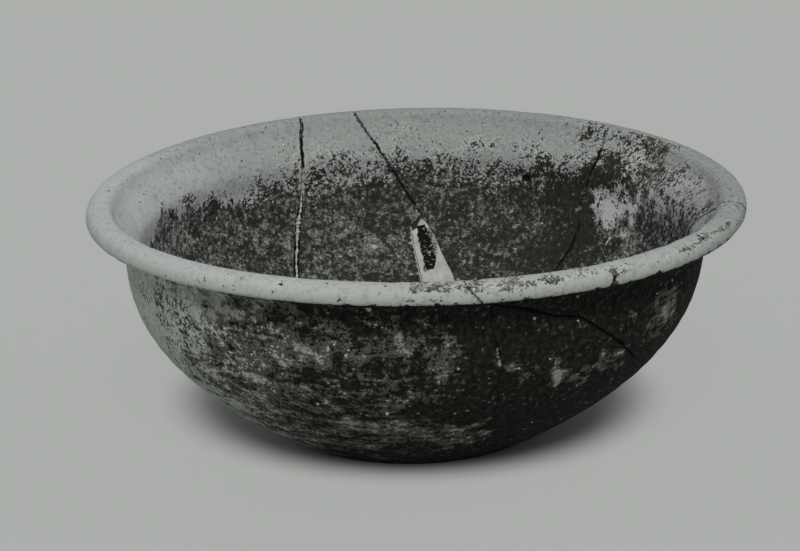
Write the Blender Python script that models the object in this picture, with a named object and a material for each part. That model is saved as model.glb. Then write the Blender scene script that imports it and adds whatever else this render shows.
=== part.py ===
"""A wheel-turned pottery bowl with a rolled rim, mended from its sherds.

The bowl is turned whole from one section, and its break lines are then cut right through the wall.
Each sherd is a solid of its own, with the thin join gap that the mender's glue fills.
A wedge of the back wall is lost: plaster fills it, and a narrow sherd is let into the plaster.
A bead of plaster stands on the join beside it, inside the bowl.

Metres, +Z up. The origin is the middle of the flat base. The front of the bowl looks towards -Y.
A place on the wall is an azimuth in degrees from the front, positive towards +X, and a height on the
outer face in percent of the rim's height. The same place on the inner face lies on the ray from there
to the break centre.
"""

from math import atan2, cos, pi, radians, sin

import bmesh
import bpy
import numpy
from mathutils import Matrix, Vector

# Size of the turned bowl; the lip stands out from the neck, which is the top of the body
RIM_RADIUS = 0.125
RIM_HEIGHT = 0.0942
LIP_OVERHANG = 0.015
NECK_RADIUS = RIM_RADIUS - LIP_OVERHANG
NECK_HEIGHT = 0.076
FOOT_RADIUS = 0.0465
FOOT_SOFTENING = 0.004
BODY_FULLNESS = 2.2
WALL_AT_NECK = 0.0065
WALL_AT_FOOT = 0.0078
FLOOR_THICKNESS = 0.0080
FLOOR_SOFTENING = 0.008

# Rolled lip, measured in from the widest circle and down from the crest
LIP_CREST_INSET = 0.0065
LIP_WIDEST_DROP = 0.0046
LIP_EDGE_INSET = 0.0024
LIP_EDGE_DROP = 0.0072
LIP_SHOULDER_INSET = 0.0105
LIP_SHOULDER_DROP = 0.0026

# How far the curves at the neck and the lip run on in their first direction
LIP_SWEEP = 0.007
NECK_SWEEP = 0.007
SHOULDER_SWEEP = 0.0052

# How far the hand-made rim is out of true
RIM_SHIFT = 0.0015
RIM_LOBES = 0.0012
RIM_LOBES_AZIMUTH = -37.0
RIM_TILT = 0.0007
RIM_SADDLE = 0.0009
RIM_SADDLE_AZIMUTH = -27.0

# Fineness of the turned surfaces
TURN_STEPS = 72
BODY_ROWS = 11
CURVE_ROWS = 4

# Breaks run through the wall along rays from one point over the middle of the bowl
JOIN_GAP = 0.0003
BREAK_CENTRE_RISE = 0.006
BREAK_REACH_IN = 0.020
BREAK_REACH_OUT = 0.010
BREAK_STEP = 6.0
BREAK_CENTRE = Vector((0.0, 0.0, RIM_HEIGHT + BREAK_CENTRE_RISE))

# Places where breaks meet, each an azimuth and a height in percent
OVER_RIM = 100.0 * BREAK_CENTRE.z / RIM_HEIGHT
FRONT_FORK = (14.6, 87.7)
RIM_FORK = (34.5, 75.7)
BACK_FORK = (177.3, 55.4)
FRONT_FOOT = (17.4, 23.9)
CORNER_FOOT = (76.0, 27.0)
RIGHT_FOOT = (87.0, 21.2)
BACK_RIGHT_FOOT = (139.5, 28.7)
BACK_FOOT = (164.5, 24.9)
FILL_FOOT = (175.5, 23.9)
BACK_LEFT_FOOT = (215.0, 26.0)

BREAKS = {
    "front_long": [(9.2, OVER_RIM), (9.1, 98.9), (9.9, 97.1), (10.7, 95.2), (11.7, 92.1), FRONT_FORK,
                   (17.1, 86.5), (20.0, 85.4), (24.1, 82.3), (28.3, 79.1), (33.0, 77.4), RIM_FORK,
                   (37.0, 71.8), (40.8, 66.8), (47.0, 57.6), (52.0, 51.0), (58.8, 44.0), (67.5, 36.0),
                   CORNER_FOOT],
    "front_low": [FRONT_FORK, (15.1, 77.5), (15.9, 71.3), (17.0, 62.5), (16.9, 58.1), (18.1, 45.5),
                  (18.2, 40.0), (18.3, 31.3), FRONT_FOOT],
    "front_rim": [(36.3, OVER_RIM), (35.4, 98.4), (34.9, 95.9), (34.2, 83.9), RIM_FORK],
    "right": [(79.5, OVER_RIM), (80.2, 98.2), (80.9, 95.5), (83.5, 92.5), (85.0, 89.0), (85.2, 84.0),
              (83.5, 76.4), (83.5, 59.4), (85.0, 38.2), RIGHT_FOOT],
    "back_right": [(136.1, OVER_RIM), (136.1, 94.4), (134.6, 87.4), (135.4, 78.1), (137.4, 67.1),
                   (137.4, 62.3), (136.5, 56.9), (136.8, 47.8), (138.5, 38.2), BACK_RIGHT_FOOT],
    "back": [(191.2, OVER_RIM), (190.8, 98.7), (189.4, 92.8), (187.1, 86.9), (184.6, 78.1), (180.6, 64.5),
             (178.4, 58.3), BACK_FORK, (176.1, 52.5), (173.7, 46.0), (170.0, 36.0), BACK_FOOT],
    "fill_side": [BACK_FORK, (179.6, 50.4), (179.2, 44.5), (177.6, 32.9), FILL_FOOT],
    "back_left": [(201.7, OVER_RIM), (202.6, 95.2), (204.0, 88.5), (205.1, 77.5), (205.6, 65.0),
                  (206.7, 59.2), (209.3, 46.5), (212.2, 35.8), BACK_LEFT_FOOT],
    "foot": [(-2.0, 19.1), (7.0, 21.8), FRONT_FOOT, (30.0, 24.9), (45.0, 27.6), (60.0, 25.5), CORNER_FOOT,
             RIGHT_FOOT, (104.0, 26.0), (121.0, 24.9), BACK_RIGHT_FOOT, (152.0, 28.1), BACK_FOOT, FILL_FOOT,
             (190.0, 21.8), (202.0, 24.9), BACK_LEFT_FOOT, (232.0, 30.3), (251.0, 25.5), (270.0, 19.1),
             (290.0, 15.9), (309.0, 14.3), (334.0, 15.9), (358.0, 19.1)],
}

# A place well inside each piece of the broken bowl
PIECES = {
    "base_sherd": (0.0, 0.0),
    "front_left_sherd": (-70.0, 63.7),
    "front_rim_sherd": (22.0, 93.9),
    "front_low_sherd": (35.0, 47.8),
    "front_right_sherd": (65.0, 63.7),
    "back_right_sherd": (108.0, 63.7),
    "back_sherd": (160.0, 63.7),
    "back_left_sherd": (197.0, 63.7),
    "plaster_fill": (172.5, 32.9),
}

# Narrow sherd let into the inner side of the plaster: azimuth, height and share of its half width
SLIVER_LINE = [(177.2, 50.4, 0.70), (176.4, 44.5, 0.91), (175.0, 38.2, 1.00), (174.5, 33.3, 0.65)]
SLIVER_HALF_WIDTH = 0.0023
SLIVER_THICKNESS = 0.0030
SLIVER_RECESS = 0.0010

# Bead of plaster along the join at the left of the back, from one height to another
BEAD_RADIUS = 0.0008
BEAD_TOP = 67.9
BEAD_BOTTOM = 31.8
BEAD_RINGS = 14
BEAD_SIDES = 8

# Finishes
FIRED_CLAY = (0.16, 0.16, 0.15, 1.0)
DARK_CLAY = (0.05, 0.05, 0.045, 1.0)
PLASTER = (0.55, 0.55, 0.53, 1.0)
DULLNESS = 0.88
SHARP_EDGE = radians(35.0)


def bezier(points, count):
    """Points along a Bezier curve of any order, without the first one."""
    result = []
    for step in range(1, count + 1):
        level = list(points)
        while len(level) > 1:
            level = [start.lerp(end, step / count) for start, end in zip(level, level[1:])]
        result.append(level[0])
    return result


def body_point(height):
    """Outer face of the body: upright at the neck and shallow at the foot."""
    share = height / NECK_HEIGHT
    reach = 1.0 - (1.0 - share) ** BODY_FULLNESS
    return Vector((FOOT_RADIUS + (NECK_RADIUS - FOOT_RADIUS) * reach, height))


def inner_body_point(height):
    """Inner face, square through the wall from the outer face at this height."""
    share = height / NECK_HEIGHT
    lean = (NECK_RADIUS - FOOT_RADIUS) * BODY_FULLNESS * (1.0 - share) ** (BODY_FULLNESS - 1.0) / NECK_HEIGHT
    square = Vector((-1.0, lean)).normalized()
    return body_point(height) + square * (WALL_AT_FOOT + (WALL_AT_NECK - WALL_AT_FOOT) * share)


def body_rows(face, start):
    """Points of one face of the body from a height up to the neck."""
    return [face(start + (NECK_HEIGHT - start) * row / BODY_ROWS) for row in range(1, BODY_ROWS + 1)]


def above_neck(neck, handle):
    """End of the neck's upright sweep, which stops at the height of the curve's other handle."""
    return neck + Vector((0.0, min(NECK_SWEEP, handle.y - neck.y)))


def lip_crest():
    """Top of the lip."""
    return Vector((RIM_RADIUS - LIP_CREST_INSET, RIM_HEIGHT))


def outer_section():
    """Radius and height from the middle of the base up the outer side to the crest of the lip."""
    start = FOOT_SOFTENING / 2.0
    section = [Vector((0.0, 0.0)), Vector((FOOT_RADIUS - FOOT_SOFTENING, 0.0))]
    section += bezier([section[-1], Vector((FOOT_RADIUS, 0.0)), body_point(start)], CURVE_ROWS // 2)
    section += body_rows(body_point, start)
    edge = Vector((RIM_RADIUS - LIP_EDGE_INSET, RIM_HEIGHT - LIP_EDGE_DROP))
    widest = Vector((RIM_RADIUS, RIM_HEIGHT - LIP_WIDEST_DROP))
    neck, under_lip = section[-1], edge - Vector((LIP_SWEEP, 0.0))
    section += bezier([neck, above_neck(neck, under_lip), under_lip, edge], CURVE_ROWS + 2)
    section += bezier([edge, Vector((RIM_RADIUS, edge.y)), widest], CURVE_ROWS // 2)
    section += bezier([widest, Vector((RIM_RADIUS, RIM_HEIGHT)), lip_crest()], CURVE_ROWS)
    return section


def inner_section():
    """Radius and height from the middle of the floor up the inner side to the crest of the lip."""
    heights = numpy.linspace(0.0, NECK_HEIGHT, BODY_ROWS + 1)
    corner = numpy.interp(FLOOR_THICKNESS, [inner_body_point(height).y for height in heights], heights)
    start = corner + FLOOR_SOFTENING / 2.0
    floor_edge = Vector((inner_body_point(corner).x, FLOOR_THICKNESS))
    section = [Vector((0.0, FLOOR_THICKNESS)), floor_edge - Vector((FLOOR_SOFTENING, 0.0))]
    section += bezier([section[-1], floor_edge, inner_body_point(start)], CURVE_ROWS - 1)
    section += body_rows(inner_body_point, start)
    shoulder = Vector((RIM_RADIUS - LIP_SHOULDER_INSET, RIM_HEIGHT - LIP_SHOULDER_DROP))
    slope = Vector((0.5, 1.0))
    neck, under_shoulder = section[-1], shoulder - slope * SHOULDER_SWEEP
    section += bezier([neck, above_neck(neck, under_shoulder), under_shoulder, shoulder], CURVE_ROWS + 1)
    section += bezier([shoulder, shoulder + slope * LIP_SHOULDER_DROP, lip_crest()], CURVE_ROWS)
    return section


OUTER = outer_section()
INNER = inner_section()


def at(azimuth, radius, height):
    """Point in space at an azimuth."""
    return Vector((radius * sin(radians(azimuth)), -radius * cos(radians(azimuth)), height))


def on_outer(azimuth, percent):
    """Place on the outer face; over the widest circle of the lip it stays on that circle's radius."""
    height = RIM_HEIGHT * percent / 100.0
    level = min(height, RIM_HEIGHT - LIP_WIDEST_DROP)
    radius = numpy.interp(level, [point.y for point in OUTER], [point.x for point in OUTER])
    return at(azimuth, radius, height)


def on_inner(azimuth, percent):
    """Place on the inner face, on the ray from the break centre to the same place outside."""
    outside = on_outer(0.0, percent)
    slope = -outside.y / (BREAK_CENTRE.z - outside.z)
    slopes = [point.x / (BREAK_CENTRE.z - point.y) for point in INNER]
    radius = numpy.interp(slope, slopes, [point.x for point in INNER])
    return at(azimuth, radius, numpy.interp(slope, slopes, [point.y for point in INNER]))


def out_of_true(point):
    """Where a point of the true bowl lies once the soft clay has sagged; the base stays as it is."""
    turn = atan2(point.x, -point.y)
    share = point.z / RIM_HEIGHT
    lobes = RIM_LOBES * cos(3.0 * (turn - radians(RIM_LOBES_AZIMUTH)))
    saddle = RIM_SADDLE * cos(2.0 * (turn - radians(RIM_SADDLE_AZIMUTH)))
    widening = 1.0 + share * (lobes + RIM_SHIFT * sin(turn)) / RIM_RADIUS
    lift = share * (saddle + RIM_TILT * sin(turn))
    return Vector((point.x * widening, point.y * widening, point.z + lift))


def material(name, colour):
    """Dull finish of one kind of piece."""
    finish = bpy.data.materials.new(name)
    finish.use_nodes = True
    finish.diffuse_color = colour
    shader = finish.node_tree.nodes["Principled BSDF"]
    shader.inputs["Base Color"].default_value = colour
    shader.inputs["Roughness"].default_value = DULLNESS
    shader.inputs["Metallic"].default_value = 0.0
    return finish


def add_object(name, shape):
    """Object made from a bmesh, which is freed."""
    mesh = bpy.data.meshes.new(name)
    shape.to_mesh(mesh)
    shape.free()
    piece = bpy.data.objects.new(name, mesh)
    bpy.context.scene.collection.objects.link(piece)
    return piece


def turned_bowl():
    """The whole bowl, turned from its section."""
    shape = bmesh.new()
    section = OUTER + INNER[-2::-1]
    points = [shape.verts.new((point.x, 0.0, point.y)) for point in section]
    edges = [shape.edges.new(pair) for pair in zip(points, points[1:])]
    bmesh.ops.spin(shape, geom=points + edges, axis=(0, 0, 1), cent=(0, 0, 0), angle=2.0 * pi,
                   steps=TURN_STEPS, use_merge=True)
    bmesh.ops.remove_doubles(shape, verts=shape.verts, dist=0.00001)
    bmesh.ops.recalc_face_normals(shape, faces=shape.faces)
    return add_object("whole_bowl", shape)


def finer(path):
    """The same break line with more points where it runs far round the bowl."""
    result = [path[0]]
    for start, end in zip(path, path[1:]):
        count = max(1, round(abs(end[0] - start[0]) / BREAK_STEP))
        for azimuth, percent in numpy.linspace(start, end, count + 1)[1:]:
            result.append((azimuth, percent))
    return result


def break_blade(name, path):
    """Thin cutter along a break line, as thick as the join gap."""
    places = finer(path)
    closed = places[-1][0] - places[0][0] == 360.0
    if closed:
        places.pop()
    shape = bmesh.new()
    rungs = []
    for azimuth, percent in places:
        surface = on_outer(azimuth, percent)
        ray = (surface - BREAK_CENTRE).normalized()
        near = shape.verts.new(surface - ray * BREAK_REACH_IN)
        far = shape.verts.new(surface + ray * BREAK_REACH_OUT)
        rungs.append(shape.edges.new((near, far)))
    for rung, next_rung in zip(rungs, rungs[1:]):
        bmesh.ops.bridge_loops(shape, edges=[rung, next_rung])
    if closed:
        bmesh.ops.bridge_loops(shape, edges=[rungs[-1], rungs[0]])
    blade = add_object("break_" + name, shape)
    gap = blade.modifiers.new("gap", "SOLIDIFY")
    gap.thickness = JOIN_GAP
    gap.offset = 0.0
    return blade


def subtract(piece, cutters):
    """Mesh of a piece once its cutters have gone through it; the piece and the cutters are removed."""
    for cutter in cutters:
        tool = piece.modifiers.new(cutter.name, "BOOLEAN")
        tool.operation = "DIFFERENCE"
        tool.object = cutter
    bpy.context.view_layer.update()
    graph = bpy.context.evaluated_depsgraph_get()
    mesh = bpy.data.meshes.new_from_object(piece.evaluated_get(graph))
    for used in cutters + [piece]:
        bpy.data.objects.remove(used)
    return mesh


def separate_bodies(shape):
    """Sets of the vertices of each separate body in a bmesh."""
    waiting = set(shape.verts)
    bodies = []
    while waiting:
        body = set()
        front = [waiting.pop()]
        while front:
            vertex = front.pop()
            body.add(vertex)
            front += [other for edge in vertex.link_edges for other in edge.verts if other not in body]
        waiting -= body
        bodies.append(body)
    return bodies


def break_bowl():
    """Cut the bowl along its breaks and make each body an object under its own name."""
    broken = subtract(turned_bowl(), [break_blade(name, path) for name, path in BREAKS.items()])
    pieces = {}
    for name, (azimuth, percent) in PIECES.items():
        inside = on_outer(azimuth, percent) if percent else Vector()
        shape = bmesh.new()
        shape.from_mesh(broken)
        bodies = separate_bodies(shape)
        kept = min(bodies, key=lambda body: min((vertex.co - inside).length for vertex in body))
        others = [vertex for vertex in shape.verts if vertex not in kept]
        bmesh.ops.delete(shape, geom=others, context="VERTS")
        pieces[name] = add_object(name, shape)
    return pieces


def join_rings(shape, rings):
    """Close a tube over rings of vertices, with a face on each end."""
    for ring, next_ring in zip(rings, rings[1:]):
        for index, vertex in enumerate(ring):
            after = (index + 1) % len(ring)
            shape.faces.new((vertex, ring[after], next_ring[after], next_ring[index]))
    shape.faces.new(rings[0])
    shape.faces.new(rings[-1])
    bmesh.ops.recalc_face_normals(shape, faces=shape.faces)


def bar_through_wall(name, room, top, bottom):
    """Closed bar along the sliver's line, with room round it, between two depths below the inner face."""
    points = [on_inner(azimuth, percent) for azimuth, percent, share in SLIVER_LINE]
    last = len(points) - 1
    shape = bmesh.new()
    rings = []
    for index, point in enumerate(points):
        ray = (point - BREAK_CENTRE).normalized()
        along = (points[min(index + 1, last)] - points[max(index - 1, 0)]).normalized()
        end = {0: -1.0, last: 1.0}.get(index, 0.0)
        middle = point + along * end * room
        across = along.cross(ray).normalized() * (SLIVER_HALF_WIDTH * SLIVER_LINE[index][2] + room)
        corners = [middle - across + ray * top, middle + across + ray * top,
                   middle + across + ray * bottom, middle - across + ray * bottom]
        rings.append([shape.verts.new(corner) for corner in corners])
    join_rings(shape, rings)
    return add_object(name, shape)


def let_in_sliver(fill):
    """Cut a slot in the plaster and set the narrow sherd in it, a little below the surface."""
    top, bottom = SLIVER_RECESS, SLIVER_RECESS + SLIVER_THICKNESS
    slot = bar_through_wall("slot", JOIN_GAP, -WALL_AT_NECK, bottom + JOIN_GAP)
    slotted = bpy.data.objects.new("plaster_fill", subtract(fill, [slot]))
    bpy.context.scene.collection.objects.link(slotted)
    return slotted, bar_through_wall("sliver_sherd", 0.0, top, bottom)


def join_azimuth(name, percent):
    """Azimuth at which a break that runs down the wall passes a height."""
    path = BREAKS[name][::-1]
    return numpy.interp(percent, [place[1] for place in path], [place[0] for place in path])


def make_bead():
    """Bead of plaster along the join, just off the inner face."""
    heights = numpy.linspace(BEAD_TOP, BEAD_BOTTOM, BEAD_RINGS)
    trace = [on_inner(join_azimuth("back_left", percent), percent) for percent in heights]
    shape = bmesh.new()
    rings = []
    for index, point in enumerate(trace):
        along = (trace[min(index + 1, BEAD_RINGS - 1)] - trace[max(index - 1, 0)]).normalized()
        across = Vector((-point.y, point.x, 0.0)).normalized()
        inward = across.cross(along).normalized()
        middle = point + inward * (BEAD_RADIUS + JOIN_GAP)
        turn = Matrix((across, inward, along)).transposed().to_4x4()
        ring = bmesh.ops.create_circle(shape, segments=BEAD_SIDES, radius=BEAD_RADIUS,
                                       matrix=Matrix.Translation(middle) @ turn)
        rings.append(ring["verts"])
    join_rings(shape, rings)
    return add_object("seam_bead", shape)


def finish(piece, look):
    """Take the finished piece out of true, shade its turned faces smooth and give it its material."""
    for vertex in piece.data.vertices:
        vertex.co = out_of_true(vertex.co)
    piece.data.shade_smooth()
    piece.data.set_sharp_from_angle(angle=SHARP_EDGE)
    piece.data.materials.clear()
    piece.data.materials.append(look)


def build():
    """Make the mended bowl."""
    for old in list(bpy.data.objects):
        bpy.data.objects.remove(old)
    pieces = break_bowl()
    pieces["plaster_fill"], pieces["sliver_sherd"] = let_in_sliver(pieces["plaster_fill"])
    pieces["seam_bead"] = make_bead()
    clay = material("fired_clay", FIRED_CLAY)
    dark_clay = material("dark_fired_clay", DARK_CLAY)
    plaster = material("plaster", PLASTER)
    looks = {"plaster_fill": plaster, "seam_bead": plaster, "sliver_sherd": dark_clay}
    for name, piece in pieces.items():
        finish(piece, looks.get(name, clay))


build()
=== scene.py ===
"""Looks of a wheel-turned pottery bowl, mended from its sherds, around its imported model.

The bowl is turned again finely from the model's own sizes, roughened, broken along the same lines and
given its clay, chalky deposit and plaster. Metres, +Z up; the front of the bowl looks towards -Y.
A place on the wall is an azimuth in degrees from the front, positive towards +X, and a height on the
outer face in percent of the rim's height. The same place inside lies on the ray to the break centre.
"""

import random
from math import atan2, cos, pi, radians, sin

import bmesh
import bpy
import numpy
from mathutils import Matrix, Vector, kdtree, noise


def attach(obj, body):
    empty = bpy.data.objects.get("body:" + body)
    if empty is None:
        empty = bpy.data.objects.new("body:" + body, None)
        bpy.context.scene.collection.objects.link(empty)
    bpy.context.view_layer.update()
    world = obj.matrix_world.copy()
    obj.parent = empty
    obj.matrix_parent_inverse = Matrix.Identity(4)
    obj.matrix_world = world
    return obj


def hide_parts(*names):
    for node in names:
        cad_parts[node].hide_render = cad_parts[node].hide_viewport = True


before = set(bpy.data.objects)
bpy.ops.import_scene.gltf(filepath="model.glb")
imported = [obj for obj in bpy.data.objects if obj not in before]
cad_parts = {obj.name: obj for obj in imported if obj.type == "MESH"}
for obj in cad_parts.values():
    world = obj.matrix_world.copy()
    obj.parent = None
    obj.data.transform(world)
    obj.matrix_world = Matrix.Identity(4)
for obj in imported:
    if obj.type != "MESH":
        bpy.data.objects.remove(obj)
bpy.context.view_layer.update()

MM = 0.001

# Size of the turned bowl, as in the model
RIM_RADIUS = 0.125
RIM_HEIGHT = 0.0942
NECK_RADIUS = 0.110
NECK_HEIGHT = 0.076
FOOT_RADIUS = 0.0465
FOOT_SOFTENING = 0.004
BODY_FULLNESS = 2.2
WALL_AT_NECK = 0.0065
WALL_AT_FOOT = 0.0078
FLOOR_THICKNESS = 0.0080
FLOOR_SOFTENING = 0.008
LIP_CREST_INSET = 0.0065
LIP_WIDEST_DROP = 0.0046
LIP_EDGE_INSET = 0.0024
LIP_EDGE_DROP = 0.0072
LIP_SHOULDER_INSET = 0.0105
LIP_SHOULDER_DROP = 0.0026
LIP_SWEEP = 0.007
NECK_SWEEP = 0.007
SHOULDER_SWEEP = 0.0052

# How far the hand-made rim is out of true, as in the model
RIM_SHIFT = 0.0015
RIM_LOBES = 0.0012
RIM_LOBES_AZIMUTH = -37.0
RIM_TILT = 0.0007
RIM_SADDLE = 0.0009
RIM_SADDLE_AZIMUTH = -27.0

# Fineness of the turned surfaces: sectors round, steps in each, rows along the wall and across the floor
SECTORS = 30
SECTOR_STEPS = 22
WALL_ROW = 1.15 * MM
FLOOR_ROW = 2.6 * MM
CURVE_POINTS = 60
SAME_POINT = 0.01 * MM

# Break lines, as in the model
BREAK_CENTRE = Vector((0.0, 0.0, RIM_HEIGHT + 0.006))
OVER_RIM = 100.0 * BREAK_CENTRE.z / RIM_HEIGHT
FRONT_FORK = (14.6, 87.7)
RIM_FORK = (34.5, 75.7)
BACK_FORK = (177.3, 55.4)
FRONT_FOOT = (17.4, 23.9)
CORNER_FOOT = (76.0, 27.0)
RIGHT_FOOT = (87.0, 21.2)
BACK_RIGHT_FOOT = (139.5, 28.7)
BACK_FOOT = (164.5, 24.9)
FILL_FOOT = (175.5, 23.9)
BACK_LEFT_FOOT = (215.0, 26.0)
BREAKS = {
    "front_long": [(9.2, OVER_RIM), (9.1, 98.9), (9.9, 97.1), (10.7, 95.2), (11.7, 92.1), FRONT_FORK,
                   (17.1, 86.5), (20.0, 85.4), (24.1, 82.3), (28.3, 79.1), (33.0, 77.4), RIM_FORK,
                   (37.0, 71.8), (40.8, 66.8), (47.0, 57.6), (52.0, 51.0), (58.8, 44.0), (67.5, 36.0),
                   CORNER_FOOT],
    "front_low": [FRONT_FORK, (15.1, 77.5), (15.9, 71.3), (17.0, 62.5), (16.9, 58.1), (18.1, 45.5),
                  (18.2, 40.0), (18.3, 31.3), FRONT_FOOT],
    "front_rim": [(36.3, OVER_RIM), (35.4, 98.4), (34.9, 95.9), (34.2, 83.9), RIM_FORK],
    "right": [(79.5, OVER_RIM), (80.2, 98.2), (80.9, 95.5), (83.5, 92.5), (85.0, 89.0), (85.2, 84.0),
              (83.5, 76.4), (83.5, 59.4), (85.0, 38.2), RIGHT_FOOT],
    "back_right": [(136.1, OVER_RIM), (136.1, 94.4), (134.6, 87.4), (135.4, 78.1), (137.4, 67.1),
                   (137.4, 62.3), (136.5, 56.9), (136.8, 47.8), (138.5, 38.2), BACK_RIGHT_FOOT],
    "back": [(191.2, OVER_RIM), (190.8, 98.7), (189.4, 92.8), (187.1, 86.9), (184.6, 78.1), (180.6, 64.5),
             (178.4, 58.3), BACK_FORK, (176.1, 52.5), (173.7, 46.0), (170.0, 36.0), BACK_FOOT],
    "fill_side": [BACK_FORK, (179.6, 50.4), (179.2, 44.5), (177.6, 32.9), FILL_FOOT],
    "back_left": [(201.7, OVER_RIM), (202.6, 95.2), (204.0, 88.5), (205.1, 77.5), (205.6, 65.0),
                  (206.7, 59.2), (209.3, 46.5), (212.2, 35.8), BACK_LEFT_FOOT],
    "foot": [(-2.0, 19.1), (7.0, 21.8), FRONT_FOOT, (30.0, 24.9), (45.0, 27.6), (60.0, 25.5), CORNER_FOOT,
             RIGHT_FOOT, (104.0, 26.0), (121.0, 24.9), BACK_RIGHT_FOOT, (152.0, 28.1), BACK_FOOT, FILL_FOOT,
             (190.0, 21.8), (202.0, 24.9), BACK_LEFT_FOOT, (232.0, 30.3), (251.0, 25.5), (270.0, 19.1),
             (290.0, 15.9), (309.0, 14.3), (334.0, 15.9), (358.0, 19.1)],
}

# A place in each piece; the base's is its middle
PIECES = {
    "base_sherd": (0.0, 0.0),
    "front_left_sherd": (-70.0, 63.7),
    "front_rim_sherd": (22.0, 93.9),
    "front_low_sherd": (35.0, 47.8),
    "front_right_sherd": (65.0, 63.7),
    "back_right_sherd": (108.0, 63.7),
    "back_sherd": (160.0, 63.7),
    "back_left_sherd": (197.0, 63.7),
    "plaster_fill": (172.5, 32.9),
}

# How the breaks look close to: a hairline through the wall that opens where the arrises are worn
HAIRLINE = 0.12 * MM
ARRIS_DEPTH = 0.8 * MM
ARRIS_WALL_SHARE = 0.4
BREAK_STEP = 0.9 * MM
BREAK_WANDER = 0.35 * MM
BREAK_OVERSHOOT = 0.4 * MM
BLADE_IN = 12.0 * MM
BLADE_OUT = 6.0 * MM
CUT_SLIVER = 0.01 * MM

# Noise along the breaks: swings to the millimetre and share of each, and how rough the arrises are
WANDER_SWINGS = [(0.18, 1.6), (0.7, 0.5)]
ARRIS_SWINGS = 1.1
ARRIS_ROUGHNESS = 0.9
ARRIS_LEAST = 0.25
ARRIS_SHIFT = Vector((7.0, 3.0, 5.0))

# Half width in millimetres of the worn arrises of each break, at heights up the wall
ARRIS_WIDTHS = {
    "front_long": [(48, 0.07), (53, 0.18), (86, 0.15), (92, 0.25)],
    "front_low": [(0, 0.07)],
    "front_rim": [(80, 0.08), (92, 0.20)],
    "right": [(0, 0.20)],
    "back_right": [(0, 0.38)],
    "back": [(0, 0.34)],
    "fill_side": [(0, 0.07)],
    "back_left": [(0, 0.32)],
    "foot": [(0, 0.10)],
}

# Chips along the breaks on the outer face: join, azimuth, height, half width and reach along the join
OUTER_CHIPS = {
    "front_long": [(11.5, 93.0, 0.3, 1.5), (23.5, 82.8, 0.8, 5.0), (31.0, 78.2, 0.7, 4.0),
                   (38.5, 69.5, 0.5, 3.0), (44.5, 61.0, 0.8, 4.0)],
    "front_rim": [(35.0, 93.0, 1.1, 2.2)],
    "right": [(81.3, 92.0, 0.8, 1.8)],
}

# Lumps, dents and grain of the clay: reach, size in millimetres and seed of each noise
LUMPS = [(0.30 * MM, 38.0, 1.0), (0.14 * MM, 10.0, 5.0), (0.10 * MM, 2.6, 9.0)]

# Turning marks, which come and go with a soft noise
MARK = 0.09 * MM
MARK_SPACING = 5.2 * MM
MARK_SWING = 3.0
MARK_SWING_SIZE = 45.0 * MM
MARK_MEAN = 0.55
MARK_LEAST = 0.15

# Nicks on the lip, and the smoother lip and base, which lose clay and gain none
LIP_NICK = 0.32 * MM
LIP_NICK_SIZE = 4.5 * MM
LIP_NICK_NOISE = (0.1, 0.5)
LIP_FROM = 84.0
LIP_FULL = 90.0
BASE_FULL = 1.0 * MM
BASE_TO = 3.0 * MM
LOSS_HELD = 0.35

# Pits scattered over the clay: how many, and the ranges of height, and of radius and depth in millimetres
PIT_SEED = 7
PIT_COUNT = 160
PIT_HEIGHTS = (8.0, 97.0)
PIT_RADII = (1.2, 2.6)
PIT_DEPTHS = (0.15, 0.5)

# Pits that the photograph shows: face, azimuth, height, radius and depth
SEEN_PITS = [("inside", 152.4, 73.7, 1.9, 1.8), ("outside", 35.0, 93.0, 1.7, 0.9),
             ("outside", 80.8, 93.0, 1.6, 0.8), ("outside", -28.5, 99.0, 1.5, 0.6),
             ("outside", -21.4, 98.6, 1.5, 0.6), ("outside", -11.2, 95.1, 1.4, 0.5),
             ("outside", 0.5, 98.2, 1.4, 0.5)]

# Sherd let into the plaster, and the bead on the join beside it, as in the model
SLIVER_LINE = [(177.2, 50.4, 0.70), (176.4, 44.5, 0.91), (175.0, 38.2, 1.00), (174.5, 33.3, 0.65)]
SLIVER_HALF_WIDTH = 2.3 * MM
SLIVER_THICKNESS = 3.0 * MM
SLIVER_RECESS = 1.0 * MM
SLIVER_ROOM = 0.2 * MM
SLIVER_RINGS = 37
SLIVER_RELIEF = 0.35 * MM
SLIVER_RELIEF_SIZE = 1.5 * MM
SLIVER_RAGGED = 0.9 * MM
SLIVER_RAGGED_SIZE = 1.8 * MM
SLIVER_RIGHT_SHIFT = Vector((5.0, 9.0, 2.0))
BEAD_RADIUS = 0.8 * MM
BEAD_TOP = 67.9
BEAD_BOTTOM = 31.8
BEAD_SWELL = [(31.8, 0.6), (42, 0.8), (50, 1.15), (58, 1.25), (63, 0.9), (67.9, 0.3)]
BEAD_RINGS = 150
BEAD_SIDES = 12
BEAD_LEAST = 0.15 * MM
BEAD_PROUD = 0.35
BEAD_WANDER = 0.35 * MM
BEAD_WANDER_SWINGS = 0.3
BEAD_LUMPS = [(0.45, 0.8), (1.2, 0.6)]
BEAD_LUMPS_MEAN = 0.75

# How rough the crumbs on the clay are, and the face, azimuth, height and size in millimetres of each
CRUMB_ROUGHNESS = 0.8
CRUMB_GRAIN = 0.8 * MM
CRUMBS = [("outside", -7.5, 87.5, 1.8), ("outside", 25.2, 89.9, 1.2), ("outside", 32.2, 86.3, 0.9),
          ("outside", 32.7, 76.0, 0.8), ("outside", 59.2, 79.9, 0.9), ("outside", 53.8, 77.5, 0.8),
          ("outside", 40.4, 58.6, 0.8), ("outside", 21.0, 59.8, 0.8), ("outside", -5.3, 41.1, 1.2),
          ("outside", -19.9, 43.9, 1.1), ("outside", 141.0, 62.0, 1.2), ("outside", -122.0, 55.0, 1.1)]

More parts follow.
